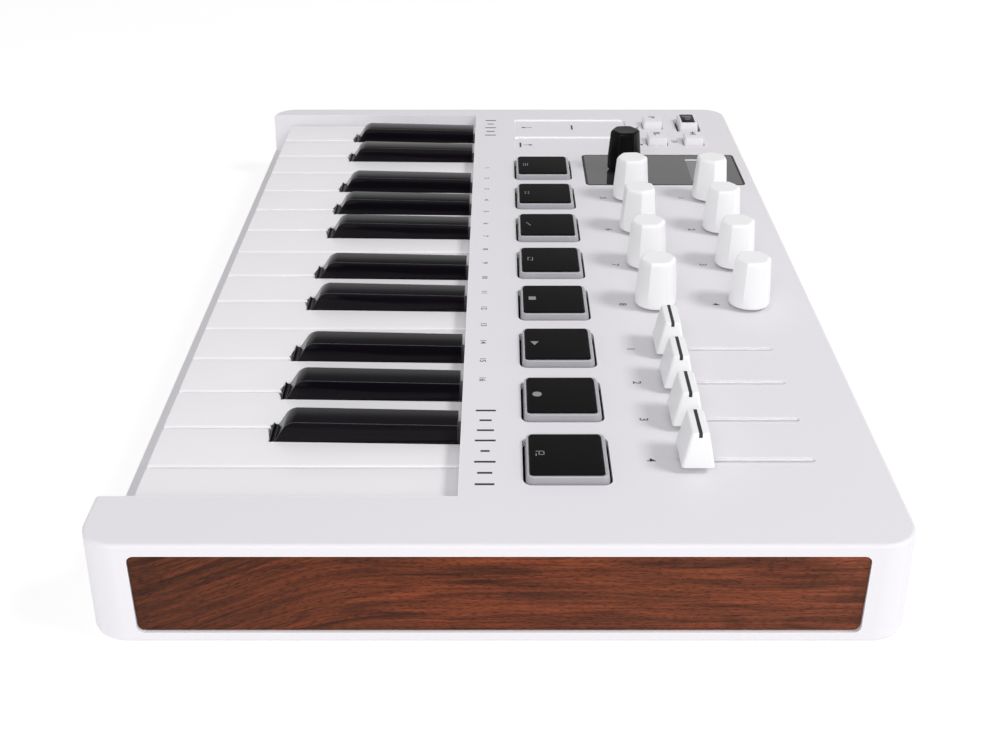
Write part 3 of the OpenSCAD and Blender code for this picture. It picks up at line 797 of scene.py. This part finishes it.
def pad_icon(node, strokes):
    """The small light mark near the front of the tile."""
    cx, cy = middle(node)
    tile_top, from_middle = box_mm(node)[1].z, -7.5
    bm = bmesh.new()
    for outline in strokes:
        placed = scaled(outline, ICON_SCALE, cx, cy + from_middle)
        plate(bm, placed, tile_top - 0.05, tile_top + 0.03)
    return finish_mesh(bm, node + "_icon", MAT["icon"], 35)


def pad(node, strokes):
    """Rubber pad: black tile set into a translucent light frame, with a small light icon."""
    pieces = [pad_collar(node), pad_tile_piece(node), pad_flange(node), pad_icon(node, strokes)]
    place(pieces, node, node)


# ---------------------------------------------------------------- knobs


def knob(node, material, turn_degrees):
    """Tapered knob with six gently curved sides whose corners fade out towards the round foot."""
    cx, cy = middle(node)
    foot, top = TOP + 1.2, box_mm(node)[1].z
    foot_r, top_r, ease = 7.15, 5.8, 0.95
    sides, flat_share, corner_power, fade_height = 6, 0.97, 0.62, 0.35
    around, levels = 120, 18
    turn, half_side = math.radians(turn_degrees), math.pi / sides

    def radius(angle, share):
        """Radius at a share of the height, from 0 at the foot to 1 at the top."""
        from_flat = (angle - turn + half_side) % (2 * half_side) - half_side
        flat = flat_share * (1 / math.cos(from_flat)) ** corner_power
        fade = min(1.0, share / fade_height)
        fade = fade * fade * (3 - 2 * fade)
        return (foot_r + (top_r - foot_r) * share) * (1 + (flat - 1) * fade)

    def level(z, share, inset):
        points = []
        for k in range(around):
            a = 2 * math.pi * k / around
            r = radius(a, share) - inset
            points.append(Vector((cx + r * math.cos(a), cy + r * math.sin(a), z)))
        return points

    rings = [level(foot + 0.02, 0, 0.9), level(foot, 0, 0.45), level(foot + 0.12, 0, 0.1)]
    side_foot, side_top = foot + 0.4, top - ease
    for k in range(levels + 1):
        z = side_foot + (side_top - side_foot) * k / levels
        rings.append(level(z, (z - foot) / (top - foot), 0))
    rings += [level(side_top + ease * rise, 1, ease * inset) for inset, rise in quarter(5)]
    rings += [level(top - dip, 1, inset) for inset, dip in ((1.6, 0.0), (3.0, 0.04), (4.6, 0.06))]
    bm = bmesh.new()
    loft(bm, rings)
    # Shaft seen in the gap under the knob
    plate(bm, round_rect(cx, cy, 6, 6, 2.99, 8), TOP - 2, foot + 0.5)
    place([finish_mesh(bm, node + "_body", material, 24)], node, node)


# ---------------------------------------------------------------- fader caps and buttons


def tapered(bm, cx, cy, foot, top, z0, z1, r, ease):
    """Block that narrows upwards from one width and depth to another, with an eased top edge."""

    def outline(share, inset=0.0):
        w = foot[0] + (top[0] - foot[0]) * share - 2 * inset
        d = foot[1] + (top[1] - foot[1]) * share - 2 * inset
        return round_rect(cx, cy, w, d, max(r - inset * 0.6, 0.2), 5)

    side_share = 1 - ease / (z1 - z0)
    rings = [ring(outline(0, 0.2), z0), ring(outline(0.02), z0 + 0.25)]
    rings.append(ring(outline(side_share), z1 - ease))
    rings += [ring(outline(1, ease * inset), z1 - ease + ease * rise) for inset, rise in quarter(4)]
    loft(bm, rings)


def pointer_line(node, cx, cy, top):
    """The black line over a fader cap's top and down both its ends."""
    half_width = 0.5
    over = [(6.64, -1.3), (6.54, -0.4), (6.3, 0.03), (-6.3, 0.03), (-6.54, -0.4), (-6.64, -1.3)]
    under = [(-6.2, -1.3), (-6.1, -0.4), (6.1, -0.4), (6.2, -1.3)]
    sides = (-half_width, half_width)
    bm = bmesh.new()
    loft(bm, [[Vector((cx + x, cy + side, top + z)) for x, z in over + under] for side in sides])
    return finish_mesh(bm, node + "_line", MAT["ink"])


def fader(node):
    """Fader cap with a pointer line, on a steel lever."""
    cx, cy = middle(node)
    top = box_mm(node)[1].z
    bm = bmesh.new()
    tapered(bm, cx, cy, (14.6, 9.4), (13.0, 4.9), TOP + 2, top, 0.9, 0.5)
    cap = finish_mesh(bm, node + "_cap", MAT["knob_white"])
    line = pointer_line(node, cx, cy, top)
    bm = bmesh.new()
    plate(bm, round_rect(cx, cy, 1.2, 4.0, 0.25, 3), TOP - 8, TOP + 4)
    lever = finish_mesh(bm, node + "_lever", MAT["steel"])
    place([cap, line, lever], node, node)


# Generic signs, drawn around the origin at about 4 mm across
BUTTON_SIGNS = {
    "button_1": [bar(-2.0, 0, 1.7, 0.45), bar(-2.0, 0, 0.45, 1.7), bar(-0.6, 0, 0.45, 1.9)],
    "button_2": [bar(-2.2, 0, 0.5, 1.9), bar(-1.2, 0, 0.5, 1.9), bar(-0.3, -0.6, 0.5, 0.7)],
    "button_3": [bar(-2.0, 0, 0.5, 1.9), bar(-1.0, 0.4, 0.5, 1.1)],
    "button_4": [bar(-1.8, 0, 0.5, 2.6), bar(-0.4, 0.3, 0.5, 2.0), bar(0.9, 0, 0.5, 1.5)],
}
SIGN_SCALE = 1.5
SHIFT_BUTTON = BUTTONS[-1]


def shift_inlay(cx, cy, top):
    """The black inlay in the top of the shift button."""

    def shape(inset):
        return round_rect(cx, cy, 11.6 - 2 * inset, 6.3 - 2 * inset, 0.6, 5)

    bm = bmesh.new()
    loft(bm, [ring(shape(0), top - 0.3)] + fillet_rings(shape, top - 0.05, top + 0.08, 0.13, 3))
    return finish_mesh(bm, SHIFT_BUTTON + "_inlay", MAT["knob_black"])


def button(node):
    """Button with a sloped skirt and a small sign. The shift button has a black inlay."""
    cx, cy = middle(node)
    low, high = box_mm(node)
    w, d, top = high.x - low.x, high.y - low.y, high.z
    bm = bmesh.new()
    tapered(bm, cx, cy, (w, d), (w - 1.8, d - 0.6), TOP - 1.5, top, 0.8, 0.35)
    pieces = [finish_mesh(bm, node + "_cap", MAT["case"])]
    sign_ink, sign_z = MAT["ink"], top - 0.02
    if node == SHIFT_BUTTON:
        sign_ink, sign_z = MAT["icon"], top + 0.06
        pieces.append(shift_inlay(cx, cy, top))
    bm = bmesh.new()
    for outline in BUTTON_SIGNS[node]:
        plate(bm, scaled(outline, SIGN_SCALE, cx, cy), sign_z, sign_z + 0.05)
    pieces.append(finish_mesh(bm, node + "_sign", sign_ink))
    place(pieces, node, node)


# ---------------------------------------------------------------- display window


def window_plate(cx, cy, top):
    """The polished window, with a painted rim."""
    low, high = box_mm("display_window")
    ease, rim, corner = 0.25, 0.9, 1.9

    def shape(inset):
        w, d = high.x - low.x - 2 * inset, high.y - low.y - 2 * inset
        return round_rect(cx, cy, w, d, corner - inset, 8)

    bm = bmesh.new()
    rounded = fillet_rings(shape, top - ease, top, ease, 3)
    loft(bm, [ring(shape(0), low.z)] + rounded + [ring(shape(rim), top)])
    piece = finish_mesh(bm, "display_window_plate", MAT["window"])
    # Every face but the two broad ones belongs to the rim, and only those have four corners
    piece.data.materials.append(MAT["ink"])
    for face in piece.data.polygons:
        if len(face.vertices) == 4:
            face.material_index = 1
    return piece


def display_window():
    """Window over the display and around the browse knob, with the display and its light bar in it."""
    cx, cy = middle("display_window")
    top = TOP - 0.02
    screen_y, screen_w, screen_d = 88.5, 25.0, 12.0
    far_x = cx - 11.2
    screen = bar(far_x + screen_w / 2, screen_y, screen_w, screen_d)
    light_bar = bar(far_x - 0.5, screen_y, 1.4, screen_d)
    pieces = [window_plate(cx, cy, top)]
    for name, outline, material in (
        ("display_screen", screen, MAT["screen"]),
        ("display_light_bar", light_bar, MAT["lit"]),
    ):
        bm = bmesh.new()
        plate(bm, outline, top - 0.05, top + 0.01)
        pieces.append(finish_mesh(bm, name, material))
    place(pieces, "case", "display_window")


# ---------------------------------------------------------------- marks and walls in the panel


def numeral(text, x, y, height):
    """A flat numeral, read from the player's side, as a mesh in metres."""
    size_per_height, bolder = 1.4, 0.02
    curve = bpy.data.curves.new("numeral", "FONT")
    curve.body = text
    curve.align_x = "CENTER"
    curve.align_y = "CENTER"
    curve.size = height * MM * size_per_height
    curve.extrude = INK_THICK * MM
    curve.offset = bolder * MM
    holder = bpy.data.objects.new("numeral", curve)
    bpy.context.scene.collection.objects.link(holder)
    holder.location = (x * MM, y * MM, INK_Z * MM)
    bpy.context.view_layer.update()
    depsgraph = bpy.context.evaluated_depsgraph_get()
    mesh = bpy.data.meshes.new_from_object(holder.evaluated_get(depsgraph))
    mesh.transform(holder.matrix_world)
    bpy.data.objects.remove(holder)
    bpy.data.curves.remove(curve)
    return mesh


def numerals(bm):
    """1 to 16 along the keys, and the numbers of the knobs and the faders, in metres."""
    first_x, last_x, count = -95.0, 91.0, 16
    for k in range(count):
        bm.from_mesh(numeral(str(k + 1), first_x + (last_x - first_x) * k / (count - 1), -5.3, 2.0))
    for k in range(4):
        knob_x = middle(KNOBS[3 - k])[0]
        bm.from_mesh(numeral(str(k + 5), knob_x, 42.9, 2.6))
        bm.from_mesh(numeral(str(k + 1), knob_x, 75.3, 2.6))
        bm.from_mesh(numeral(str(k + 1), middle(FADERS[k])[0], 42.8, 2.6))


def level_bars(x0, x1, heights):
    """A plain row of bars beside the keys, as on a level meter."""
    row_y, width = -4, 0.9
    pitch = (x1 - x0) / (len(heights) - 1)
    return [bar(x0 + k * pitch, row_y, width, h) for k, h in enumerate(heights)]


def printed_marks():
    """Numbers beside the keys, knobs and faders, rows of bars, and small signs by the buttons."""
    bm = bmesh.new()
    numerals(bm)
    bmesh.ops.scale(bm, vec=(1 / MM, 1 / MM, 1 / MM), verts=bm.verts)
    marks = level_bars(110, 149, (6, 3.6, 5, 6, 2.6, 6, 4.2, 5.4))
    marks += level_bars(-159, -138, (5, 3, 5, 4, 5))
    marks += [bar(-129.8, 80.8, 0.7, 3.2), bar(-128.2, 80.8, 0.7, 2.2)]
    marks += [bar(-148, 65.2, 1.6, 1.0), bar(-125, 65.2, 1.6, 1.0)]
    for outline in marks:
        plate(bm, outline, INK_Z - 0.02, INK_Z + INK_THICK)
    place([finish_mesh(bm, "printed_marks", MAT["ink"])], "case")


def strip_signs():
    """Small marks in the two touch strips: a line, a dot and a dash in each."""
    strip_z = TOP - STRIP_DEPTH
    far_marks = ((34.5, 6, 0.8), (11.6, 1.2, 1.6), (14.0, 0.4, 3.0))
    near_marks = ((9.8, 6, 0.8), (14.3, 1.2, 1.6), (12.2, 0.4, 2.2))
    bm = bmesh.new()
    for strip_x, marks in ((FAR_STRIP_X, far_marks), (NEAR_STRIP_X, near_marks)):
        for y, w, d in marks:
            plate(bm, bar(strip_x, y, w, d), strip_z - 0.02, strip_z + INK_THICK)
    place([finish_mesh(bm, "strip_signs", MAT["ink"])], "case")


def painted_lit_wall_plates():
    """Thin smooth plates of the brighter plastic on the walls of the fader slots and touch strips that
    face the right-hand end: painted light on these walls.
    """
    thick = 0.12
    walls = []
    for node in FADERS:
        cx, cy = middle(node)
        walls.append((cx - 1.17, cy - 3, cy + 33.2, 0.58))
    for strip_x in (FAR_STRIP_X, NEAR_STRIP_X):
        walls.append((strip_x - 9.07, 9.0, 58.6, STRIP_DEPTH - 0.02))
    bm = bmesh.new()
    for x, y0, y1, depth in walls:
        plate(bm, bar(x, (y0 + y1) / 2, thick, y1 - y0), TOP - depth, TOP - 0.02)
    place([finish_mesh(bm, "painted_lit_wall_plates", MAT["painted_lit_wall"])], "case")


# ---------------------------------------------------------------- studio


def studio_floor():
    """White paper that glows a little, so that it stays white with only a faint shadow under the case."""
    half = 20.0
    corners = [(x, y, 0) for x, y in rect(-half, -half, half, half)]
    mesh = bpy.data.meshes.new("floor")
    mesh.from_pydata(corners, [], [(0, 1, 2, 3)])
    n = Nodes("floor_paper")
    n.set(
        Base_Color=n.mix(n.noise(3), grey(0.30), grey(0.32)), Roughness=0.9, Specular_IOR_Level=0.1,
        Emission_Color=WHITE, Emission_Strength=0.75,
    )
    new_object("floor", mesh, n.material)


def studio_world():
    """White surroundings: bright near the floor, dimmest just above the horizon, brighter overhead."""
    world = bpy.data.worlds.new("studio")
    bpy.context.scene.world = world
    world.use_nodes = True
    tree = world.node_tree
    background = tree.nodes["Background"]
    split = tree.nodes.new("ShaderNodeSeparateXYZ")
    ramp = tree.nodes.new("ShaderNodeValToRGB")
    levels = [(0.0, 0.85), (0.4, 0.8), (0.52, 0.31), (0.62, 0.27), (0.85, 0.44), (1.0, 0.44)]
    while len(ramp.color_ramp.elements) < len(levels):
        ramp.color_ramp.elements.new(0.5)
    for element, (position, level) in zip(ramp.color_ramp.elements, levels):
        element.position = position
        element.color = (*grey(level), 1)
    around = tree.nodes.new("ShaderNodeTexCoord").outputs["Generated"]
    tree.links.new(around, split.inputs["Vector"])
    tree.links.new(split.outputs["Z"], ramp.inputs["Fac"])
    tree.links.new(ramp.outputs["Color"], background.inputs["Color"])


def add_to_scene(name, data, location, look):
    """A lamp or a camera at a place in metres, facing along a direction."""
    holder = bpy.data.objects.new(name, data)
    bpy.context.scene.collection.objects.link(holder)
    holder.location = location
    holder.rotation_euler = look.to_track_quat("-Z", "Y").to_euler()
    return holder


def area_light(name, location, size, power):
    """Square soft light that faces the middle of the case."""
    light = bpy.data.lights.new(name, "AREA")
    light.shape = "SQUARE"
    light.size, light.energy = size, power
    add_to_scene(name, light, location, -Vector(location))


def studio_camera():
    """Camera beyond the right-hand end of the case, looking down along it."""
    from_middle, above_top, pitch = 443.3, 201.6, math.radians(29.6)
    camera = bpy.data.cameras.new("camera")
    camera.lens = 46.72
    camera.sensor_width = 36
    camera.shift_x = 0.0009
    location = (from_middle * MM, 0, (TOP + above_top) * MM)
    look = Vector((-math.cos(pitch), 0, -math.sin(pitch)))
    bpy.context.scene.camera = add_to_scene("camera", camera, location, look)


def studio():
    studio_floor()
    studio_world()
    area_light("key_light", (0.45, 1.3, 1.5), 0.5, 17.0)
    area_light("front_fill", (1.5, -0.2, 1.1), 1.0, 11.0)
    studio_camera()
    bpy.context.scene.view_settings.view_transform = "Standard"


# ---------------------------------------------------------------- assembly

KNOB_TURN = 3
TURNED_KNOBS = {"knob_3": 33, "knob_8": 33}

dress_case()
dress_control_board()
dress_inner_parts()
wood_panels()
for key in WHITE_KEYS:
    white_key(key)
for key in BLACK_KEYS:
    black_key(key)
for node, strokes in zip(PADS, PAD_ICONS.values()):
    pad(node, strokes)
for node in KNOBS:
    knob(node, MAT["knob_white"], TURNED_KNOBS.get(node, KNOB_TURN))
knob("browse_knob", MAT["knob_black"], KNOB_TURN)
for node in FADERS:
    fader(node)
for node in BUTTONS:
    button(node)
display_window()
printed_marks()
strip_signs()
painted_lit_wall_plates()
studio()
